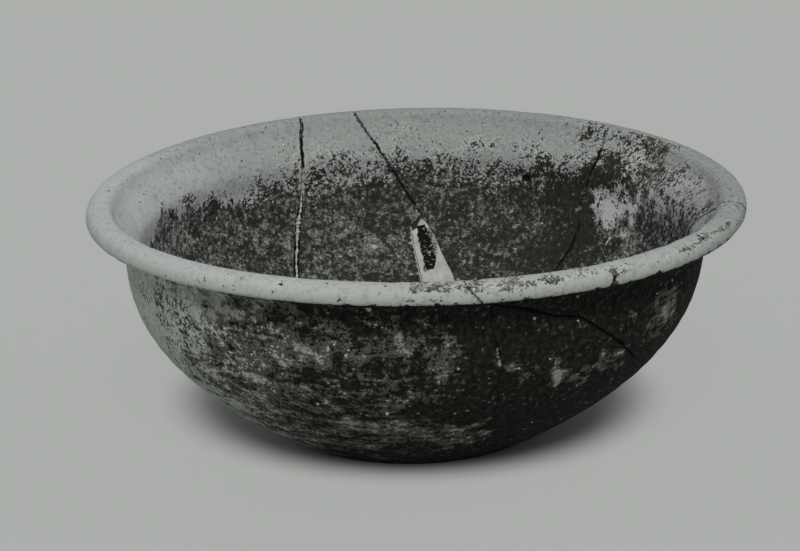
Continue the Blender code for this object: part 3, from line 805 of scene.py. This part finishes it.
def finish_fields(points):
    """The finish at each point of the true bowl, by name.

    It says how closed the chalky deposit and the thin film are, how pale the deposit is (lifted by painted
    light on the shaded inner left wall), how dark the painted shade in the inner pit is, and where deposit
    and film are finely speckled, which is inside and on the lip.
    """
    azimuth, percent, share = place_on_wall(points)
    inside = share > 0.5
    turn = ragged(azimuth, points, RAGGED_TURN)
    height = ragged(percent, points, RAGGED_HEIGHT)
    edge = ragged(percent, points, RAGGED_LIP)
    fall = round_bowl(azimuth, OUTER_FALL)
    outer = patched(round_bowl(turn, OUTER_COVER), OUTER_PATCHES, turn, height)
    outer = outer + numpy.interp(edge, *zip(*OUTER_COVER_BY_HEIGHT)) * fall
    lip_cover = round_bowl(azimuth, LIP_COVER)
    on_lip = fade(edge, LIP_EDGE_FROM, LIP_EDGE_FULL)
    outer = outer + (lip_cover - outer) * on_lip
    above_pale = height - round_bowl(turn, INNER_PALE_ABOVE)
    inner = 0.5 + 0.5 * above_pale / round_bowl(turn, INNER_PALE_SPREAD)
    inner = numpy.clip(inner, round_bowl(turn, INNER_COVER_BELOW), lip_cover)
    inner = patched(inner, INNER_PATCHES, turn, height)
    # Stains on the lip, with painted shade along its inner edge, under its lower edge at the right, in a
    # crack and in its pits
    stains = patched(numpy.zeros(len(points)), LIP_STAINS_AND_SHADE, azimuth, percent)
    deposit = numpy.where(inside, inner, outer) + stains
    outer_film = patched(round_bowl(turn, OUTER_FILM), OUTER_HAZE, turn, height)
    outer_film = outer_film + numpy.interp(edge, *zip(*OUTER_FILM_BY_HEIGHT)) * fall
    outer_film = outer_film + (LIP_FILM - outer_film) * on_lip
    inner_film = patched(round_bowl(turn, INNER_FILM), INNER_HAZE, turn, height)
    inner_film = inner_film + (LIP_FILM - inner_film) * fade(above_pale, 0.0, INNER_FILM_FADE)
    film = numpy.where(inside, inner_film, outer_film) + STAIN_AND_SHADE_ON_FILM * stains
    pale = round_bowl(turn, PALENESS)
    # Inside, paler patches, one of them painted light on the shaded inner left wall
    pale = numpy.where(inside, patched(pale, PALE_PATCHES, turn, height), pale)
    # Painted shade in the deep pit inside
    pit_shade = patched(numpy.zeros(len(points)), INNER_PIT_SHADE, azimuth, percent) * inside
    return {"deposit": deposit, "film": film, "pale": pale, "pit_shade": pit_shade,
            "speckle": numpy.where(inside, 1.0, on_lip)}


def along_joins(points, tree, runs, marks):
    """How strongly the marks that run along the joins show at each point."""
    shown = numpy.zeros(len(points))
    for index, point in enumerate(points):
        _, run, distance = tree.find(point)
        _, name, percent, inner_side = runs[run]
        for low, high, half_width, strength in marks.get((name, inner_side), []):
            if low <= percent <= high:
                shown[index] += strength * max(0.0, 1.0 - (distance / (half_width * MM)) ** 2)
    return shown


def write_field(mesh, name, values):
    """Store a number on each vertex for the materials to read."""
    mesh.attributes.new(name, "FLOAT", "POINT").data.foreach_set("value", values)


def colour(code):
    """sRGB hex colour as linear red, green, blue and alpha."""
    parts = [int(code[start:start + 2], 16) / 255.0 for start in (1, 3, 5)]
    linear = [part / 12.92 if part <= 0.04045 else ((part + 0.055) / 1.055) ** 2.4 for part in parts]
    return (*linear, 1.0)


def add(tree, kind, inputs=(), **settings):
    """Add a node with its settings; its inputs, in order or by name, are values or outputs to link."""
    made = tree.nodes.new("ShaderNode" + kind)
    for name, value in settings.items():
        setattr(made, name, value)
    inputs = inputs if isinstance(inputs, dict) else dict(enumerate(inputs))
    for name, value in inputs.items():
        if isinstance(value, bpy.types.NodeSocket):
            tree.links.new(value, made.inputs[name])
        else:
            made.inputs[name].default_value = value
    return made


def new_material(name, roughness):
    """Material with its shader, ready to link."""
    made = bpy.data.materials.new(name)
    made.use_nodes = True
    shader = made.node_tree.nodes["Principled BSDF"]
    shader.inputs["Roughness"].default_value = roughness
    shader.inputs["Specular IOR Level"].default_value = DRY_SPECULAR
    return made, made.node_tree, shader


def coated(tree, surface, *coats):
    """Colour of a surface under its coats, each with its colour and what says how much of it shows.

    That is a share, or else a value, the two levels that it rises between, and the shares there if they
    aren't 0 and 1.
    """
    for over, share, *levels in coats:
        if levels:
            share = add(tree, "MapRange", (share, *levels), **SOFT_STEP).outputs[0]
        surface = add(tree, "Mix", {0: share, 6: surface, 7: over}, data_type="RGBA").outputs[2]
    return surface


def summed(tree, *terms):
    """Sum of values, each times its weight."""
    total = 0.0
    for value, weight in terms:
        total = add(tree, "Math", (value, weight, total), operation="MULTIPLY_ADD").outputs[0]
    return total


def grain(tree, coords, size, detail, shift, drawn=1.0):
    """Noise with features of a size in millimetres, and longer ones round the bowl where it is drawn out."""
    moved = {0: coords, 1: (shift, shift * 0.6, -shift), 3: (drawn, drawn, 1.0)}
    place = add(tree, "Mapping", moved).outputs[0]
    return add(tree, "TexNoise", {"Vector": place, "Scale": 1.0 / (size * MM), "Detail": detail,
                                  "Roughness": NOISE_ROUGHNESS}).outputs[0]


def specks(tree, coords, spacing, radius, share):
    """Round specks, bright and faint, by spacing in millimetres, radius in spacings and share that shows."""
    cells = add(tree, "TexVoronoi", {"Vector": coords, "Scale": 1.0 / (spacing * MM)}, feature="F1")
    draw = add(tree, "SeparateColor", (cells.outputs["Color"],)).outputs
    dot = (cells.outputs["Distance"], radius * 0.5, radius, 1.0, 0.0)
    shown = (draw[0], 1.0 - share, 1.04 - share)
    bright = (draw[1], 0.0, 1.0, 0.2, 0.9)
    speck = 1.0
    for levels in (dot, shown, bright):
        part = add(tree, "MapRange", levels, **SOFT_STEP).outputs[0]
        speck = add(tree, "Math", (speck, part), operation="MULTIPLY").outputs[0]
    return speck


def broken_up(tree, level, speckle, mottled, speckled):
    """Level of a finish, broken up by weighted noises: one set where it is mottled, one where speckled."""
    sums = summed(tree, *mottled), summed(tree, *speckled)
    noises = add(tree, "MapRange", (speckle, 0.0, 1.0, *sums), **SOFT_STEP).outputs[0]
    return summed(tree, (noises, 1.0), (level, 1.0))


def finish_surface(tree, shader, surface, height):
    """Link a colour and a fine relief to a shader."""
    tree.links.new(surface, shader.inputs["Base Color"])
    bump = add(tree, "Bump", {"Strength": 1.0, "Distance": FINE_RELIEF, "Height": height})
    tree.links.new(bump.outputs[0], shader.inputs["Normal"])


def smoked_earthenware():
    """Coarse wheel-turned earthenware, smoked dark in the firing, under a chalky deposit of the soil.

    The eye gets a matt dark ground, pale crusts that break up into grain at their edges, and pale grit.
    """
    made, tree, shader = new_material("smoked_earthenware", 0.9)
    coords = add(tree, "TexCoord").outputs["Object"]
    blotch = grain(tree, coords, 7.0, 6.0, 0.0)
    fleck = grain(tree, coords, 2.0, 3.0, 0.3)
    fine = grain(tree, coords, 0.9, 2.0, 0.7)
    streak = grain(tree, coords, 1.7, 3.0, 0.2, 0.12)
    deposit, film, pale, speckle, smear, stain_and_shade, pit_shade = (
        add(tree, "Attribute", attribute_name=name).outputs["Fac"]
        for name in ("deposit", "film", "pale", "speckle", "smear", "stain_and_shade", "pit_shade"))

    # Dark ground under a thin film, patchy outside and dusty inside
    clay = coated(tree, colour(CLAY_DARK), (colour(CLAY), fleck, 0.35, 0.68))
    haze = broken_up(tree, film, speckle, [(blotch, 1.5), (fleck, 1.0), (fine, 1.0), (streak, 1.0)],
                     [(blotch, 1.2), (fleck, 1.5), (fine, 1.3), (streak, 0.5)])
    filmed = coated(tree, clay, (colour(FILM_THIN), haze, 2.68, 2.82), (colour(FILM), haze, 2.98, 3.16))
    dusted = coated(tree, clay, (colour(FILM_THIN), 0.2), (colour(FILM), haze, 2.45, 3.30))
    ground = coated(tree, filmed, (dusted, speckle))

    # Where the deposit closes to a crust, with a softer edge inside and on the lip
    cover = broken_up(tree, deposit, speckle, [(blotch, 1.0), (fleck, 1.2), (fine, 1.0)],
                      [(blotch, 0.7), (fleck, 1.2), (fine, 1.3)])
    opened = add(tree, "MapRange", (speckle, 0.0, 1.0, 2.04, 1.98), **SOFT_STEP).outputs[0]
    closed = add(tree, "MapRange", (speckle, 0.0, 1.0, 2.16, 2.24), **SOFT_STEP).outputs[0]
    crust = add(tree, "MapRange", (cover, opened, closed), **SOFT_STEP).outputs[0]

    # Colour of the crust: pale where thick, and where painted light lifts the shaded inner left wall, with
    # dull flecks, bright grains and dark pocks
    dull = add(tree, "MapRange", (pale, 0.35, 0.7, 0.42, 0.2), **SOFT_STEP).outputs[0]
    bright = add(tree, "MapRange", (deposit, 0.65, 0.95, 0.55, 0.15), **SOFT_STEP).outputs[0]
    pock = summed(tree, (grain(tree, coords, 1.7, 2.0, 0.5), 1.0), (blotch, 0.25), (fine, 0.15))
    chalk = coated(tree, colour(CHALK), (colour(CHALK_THICK), pale),
                   (colour(CHALK_DULL), fleck, 0.36, 0.50, dull, 0.0),
                   (colour(GRIT), fine, 0.50, 0.66, 0.0, bright),
                   (colour(CHALK_PIT), pock, 0.865, 0.910))

    # The crust and pale grit on the ground, plaster smeared along the joins, and dark glue lines along the
    # joins with painted shade in the open cracks and in the inner pit
    grit = specks(tree, coords, 5.5, 0.12, 0.4)
    dust = specks(tree, coords, 2.3, 0.17, 0.2)
    smeared = summed(tree, (smear, 1.0), (fleck, 1.0))
    stained = summed(tree, (stain_and_shade, 1.0), (pit_shade, 1.0), (fleck, 0.8))
    surface = coated(tree, ground, (chalk, crust), (colour(GRIT), grit), (colour(FILM), dust),
                     (colour(SMEAR), smeared, 0.62, 0.86), (colour(GLUE_AND_SHADE_DARK), stained, 0.60, 0.95))
    finish_surface(tree, shader, surface, summed(tree, (crust, 0.5), (fine, 0.6), (fleck, 0.7), (grit, 1.5)))
    return made


def dry_gypsum_plaster():
    """Gypsum plaster pressed into the gap and wiped by hand.

    The eye gets an off-white matt filling, slightly mottled, with pores drawn coarse enough to show.
    """
    made, tree, shader = new_material("dry_gypsum_plaster", 0.85)
    coords = add(tree, "TexCoord").outputs["Object"]
    blotch = grain(tree, coords, 4.0, 4.0, 0.0)
    fine = grain(tree, coords, 0.8, 2.0, 0.4)
    stain_and_shade = add(tree, "Attribute", attribute_name="stain_and_shade").outputs["Fac"]
    stained = summed(tree, (stain_and_shade, 1.0), (fine, 0.8))
    surface = coated(tree, colour(PLASTER_LOW), (colour(PLASTER), blotch, 0.3, 0.7),
                     (colour(PLASTER_PORE), fine, 0.28, 0.42, 0.5, 0.0),
                     (colour(CLAY), stained, 0.60, 0.95))
    finish_surface(tree, shader, surface, summed(tree, (blotch, 0.6), (fine, 0.8)))
    return made


def black_fired_earthenware():
    """The same earthenware where it was fired almost black.

    The eye gets a dark strip of clay with crumbs of plaster on it.
    """
    made, tree, shader = new_material("black_fired_earthenware", 0.9)
    coords = add(tree, "TexCoord").outputs["Object"]
    fleck = grain(tree, coords, 1.4, 3.0, 0.2)
    surface = coated(tree, colour(CLAY_DARK), (colour(PLASTER_LOW), fleck, 0.60, 0.66))
    finish_surface(tree, shader, surface, fleck)
    return made


def dress(piece, name, look):
    """Take a piece out of true, smooth it, give it its finish and let it ride on the bowl."""
    mesh = piece.data
    mesh.vertices.foreach_set("co", out_of_true(coordinates(mesh)).ravel())
    mesh.shade_smooth()
    mesh.set_sharp_from_angle(angle=SHARP_EDGE)
    mesh.materials.clear()
    mesh.materials.append(look)
    piece.name = name
    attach(piece, "root")


def bar_through_wall(name, room, top, bottom):
    """Closed bar along the sliver's line, with room round it, between two depths below the inner face."""
    knots = numpy.array(SLIVER_LINE)
    places = numpy.linspace(0, len(knots) - 1, SLIVER_RINGS)
    line = [[numpy.interp(place, range(len(knots)), column) for column in knots.T] for place in places]
    points = [wall_point(azimuth, percent, True) for azimuth, percent, _ in line]
    last = len(points) - 1
    shape = bmesh.new()
    rings = []
    for index, point in enumerate(points):
        ray = (point - BREAK_CENTRE).normalized()
        along = (points[min(index + 1, last)] - points[max(index - 1, 0)]).normalized()
        end = {0: -1.0, last: 1.0}.get(index, 0.0)
        middle = point + along * end * room
        across = along.cross(ray).normalized()
        half = SLIVER_HALF_WIDTH * line[index][2] + room
        spot = point / SLIVER_RAGGED_SIZE
        left = middle - across * (half + SLIVER_RAGGED * noise.noise(spot))
        right = middle + across * (half + SLIVER_RAGGED * noise.noise(spot + SLIVER_RIGHT_SHIFT))
        corners = [left + ray * top, right + ray * top, right + ray * bottom, left + ray * bottom]
        rings.append([shape.verts.new(corner) for corner in corners])
    join_rings(shape, rings)
    return add_object(name, shape)


def sliver():
    """Narrow dark sherd with a broken top, a little below the plaster."""
    piece = bar_through_wall("sliver", 0.0, SLIVER_RECESS, SLIVER_RECESS + SLIVER_THICKNESS)
    shape = bmesh.new()
    shape.from_mesh(piece.data)
    bmesh.ops.subdivide_edges(shape, edges=shape.edges[:], cuts=3, use_grid_fill=True)
    for vertex in shape.verts:
        ray = (vertex.co - BREAK_CENTRE).normalized()
        vertex.co += ray * SLIVER_RELIEF * max(0.0, noise.noise(vertex.co / SLIVER_RELIEF_SIZE))
    shape.to_mesh(piece.data)
    shape.free()
    return piece


def seam_bead():
    """Irregular bead of plaster pressed along the join, wide and narrow by turns."""
    path = BREAKS["back_left"][::-1]
    heights = numpy.linspace(BEAD_TOP, BEAD_BOTTOM, BEAD_RINGS)
    turns = numpy.interp(heights, [place[1] for place in path], [place[0] for place in path])
    trace = [wall_point(azimuth, percent, True) for azimuth, percent in zip(turns, heights)]
    shape = bmesh.new()
    rings = []
    for index, point in enumerate(trace):
        along = (trace[min(index + 1, BEAD_RINGS - 1)] - trace[max(index - 1, 0)]).normalized()
        across = Vector((-point.y, point.x, 0.0)).normalized()
        inward = across.cross(along).normalized()
        spot = point / MM
        swell = numpy.interp(heights[index], *zip(*BEAD_SWELL))
        size = max(BEAD_LEAST, BEAD_RADIUS * swell * (BEAD_LUMPS_MEAN + swinging(spot, BEAD_LUMPS)))
        wander = across * BEAD_WANDER * noise.noise(spot * BEAD_WANDER_SWINGS)
        middle = point + inward * size * BEAD_PROUD + wander
        turn = Matrix((across, inward, along)).transposed().to_4x4()
        ring = bmesh.ops.create_circle(shape, segments=BEAD_SIDES, radius=size,
                                       matrix=Matrix.Translation(middle) @ turn)
        rings.append(ring["verts"])
    join_rings(shape, rings)
    return add_object("bead", shape)


def crumbs():
    """Crumbs of lime and plaster stuck to the clay, each a small lump half sunk in it."""
    shape = bmesh.new()
    for side, azimuth, percent, size in CRUMBS:
        middle = wall_point(azimuth, percent, side == "inside")
        lump = bmesh.ops.create_icosphere(shape, subdivisions=2, radius=size * MM / 2.0,
                                          matrix=Matrix.Translation(middle))
        for vertex in lump["verts"]:
            vertex.co += (vertex.co - middle) * CRUMB_ROUGHNESS * noise.noise(vertex.co / CRUMB_GRAIN)
    return add_object("crumbs", shape)


def make_bowl():
    """The mended bowl, piece by piece, each standing for its node of the model."""
    bowl = turned_bowl()
    roughen(bowl)
    sherds = break_bowl(bowl)
    tree, runs = join_tree()
    clay, plaster = smoked_earthenware(), dry_gypsum_plaster()
    slot_bottom = SLIVER_RECESS + SLIVER_THICKNESS + SLIVER_ROOM
    slot = bar_through_wall("slot", SLIVER_ROOM, -WALL_AT_NECK, slot_bottom)
    cut_away(sherds["plaster_fill"], [slot])
    for node, piece in sherds.items():
        points = coordinates(piece.data)
        if node == "plaster_fill":
            azimuth, percent, _ = place_on_wall(points)
            stains = patched(numpy.zeros(len(points)), PLASTER_STAINS, azimuth, percent)
            write_field(piece.data, "stain_and_shade", stains)
            dress(piece, "wiped_plaster_fill", plaster)
        else:
            for name, values in finish_fields(points).items():
                write_field(piece.data, name, values)
            write_field(piece.data, "smear", along_joins(points, tree, runs, JOIN_SMEARS))
            # Dark glue lines along the joins, with painted shade where the cracks stand open
            write_field(piece.data, "stain_and_shade", along_joins(points, tree, runs, JOIN_GLUE_AND_SHADE))
            dress(piece, "worn_" + node, clay)
        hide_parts(node)
    narrow = sliver()
    dress(narrow, "broken_sliver", black_fired_earthenware())
    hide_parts("sliver_sherd")
    bead = seam_bead()
    dress(bead, "pressed_bead", plaster)
    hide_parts("seam_bead")
    dress(crumbs(), "lime_crumbs", plaster)


def studio_light(name, azimuth, elevation, strength, spread):
    """Wide soft light from a direction."""
    lamp = bpy.data.lights.new(name, "SUN")
    lamp.energy = strength
    lamp.angle = radians(spread)
    holder = bpy.data.objects.new(name, lamp)
    bpy.context.scene.collection.objects.link(holder)
    rise, turn = radians(elevation), radians(azimuth)
    towards = Vector((cos(rise) * sin(turn), -cos(rise) * cos(turn), sin(rise)))
    holder.rotation_euler = towards.to_track_quat("Z", "Y").to_euler()


def white_paper():
    """Overexposed white paper: it keeps the bowl's shadow near the base and washes it out further off."""
    made, tree, shader = new_material("white_paper_sweep", 1.0)
    shader.inputs["Base Color"].default_value = colour(FLOOR)
    place = add(tree, "TexCoord").outputs["Object"]
    away = add(tree, "VectorMath", (place, SHADOW_CENTRE), operation="DISTANCE").outputs["Value"]
    washed = add(tree, "MapRange", (away, SHADOW_FULL, SHADOW_LOST, 0.0, 1.0 - SHADOW_LEFT), **SOFT_STEP)
    camera_ray = add(tree, "LightPath").outputs["Is Camera Ray"]
    seen = add(tree, "Math", (washed.outputs[0], camera_ray), operation="MULTIPLY")
    glow = add(tree, "Emission", {"Color": colour(BACKDROP), "Strength": 1.0})
    both = add(tree, "MixShader", (seen.outputs[0], shader.outputs[0], glow.outputs[0]))
    tree.links.new(both.outputs[0], tree.nodes["Material Output"].inputs["Surface"])
    return made


def surroundings():
    """Pale sweep of floor, a horizon in the same tone, and plain soft light."""
    scene = bpy.context.scene
    scene.view_settings.view_transform = "Standard"
    scene.world = bpy.data.worlds.new("studio")
    scene.world.use_nodes = True
    tree = scene.world.node_tree
    light = tree.nodes["Background"]
    light.inputs["Color"].default_value = colour(FILL_LIGHT)
    light.inputs["Strength"].default_value = FILL_STRENGTH
    seen = add(tree, "Background", {"Color": colour(BACKDROP), "Strength": 1.0})
    camera_ray = add(tree, "LightPath").outputs["Is Camera Ray"]
    both = add(tree, "MixShader", (camera_ray, light.outputs[0], seen.outputs[0]))
    tree.links.new(both.outputs[0], tree.nodes["World Output"].inputs["Surface"])
    shape = bmesh.new()
    bmesh.ops.create_circle(shape, cap_ends=True, segments=FLOOR_SIDES, radius=FLOOR_RADIUS,
                            matrix=Matrix.Translation((0.0, 0.0, -FLOOR_DROP)))
    floor = add_object("floor", shape)
    floor.data.materials.append(white_paper())
    for lamp in LIGHTS:
        studio_light(*lamp)


def photograph_camera():
    """Camera at the photograph's angle, distance and frame."""
    data = bpy.data.cameras.new("camera")
    data.sensor_width = SENSOR_WIDTH
    data.lens = SENSOR_WIDTH * CAMERA_DISTANCE * PIXELS_PER_METRE / PHOTO_WIDTH
    data.shift_x = (PHOTO_WIDTH / 2.0 - TARGET_PIXEL[0]) / PHOTO_WIDTH
    data.shift_y = (TARGET_PIXEL[1] - PHOTO_HEIGHT / 2.0) / PHOTO_WIDTH
    camera = bpy.data.objects.new("camera", data)
    bpy.context.scene.collection.objects.link(camera)
    rise = radians(CAMERA_ELEVATION)
    back = Vector((0.0, -cos(rise), sin(rise)))
    look = back.to_track_quat("Z", "Y").to_matrix().to_4x4()
    roll = Matrix.Rotation(-radians(CAMERA_ROLL), 4, "Z")
    camera.matrix_world = Matrix.Translation(Vector(TARGET) + back * CAMERA_DISTANCE) @ look @ roll
    bpy.context.scene.camera = camera


photograph_camera()
surroundings()
make_bowl()
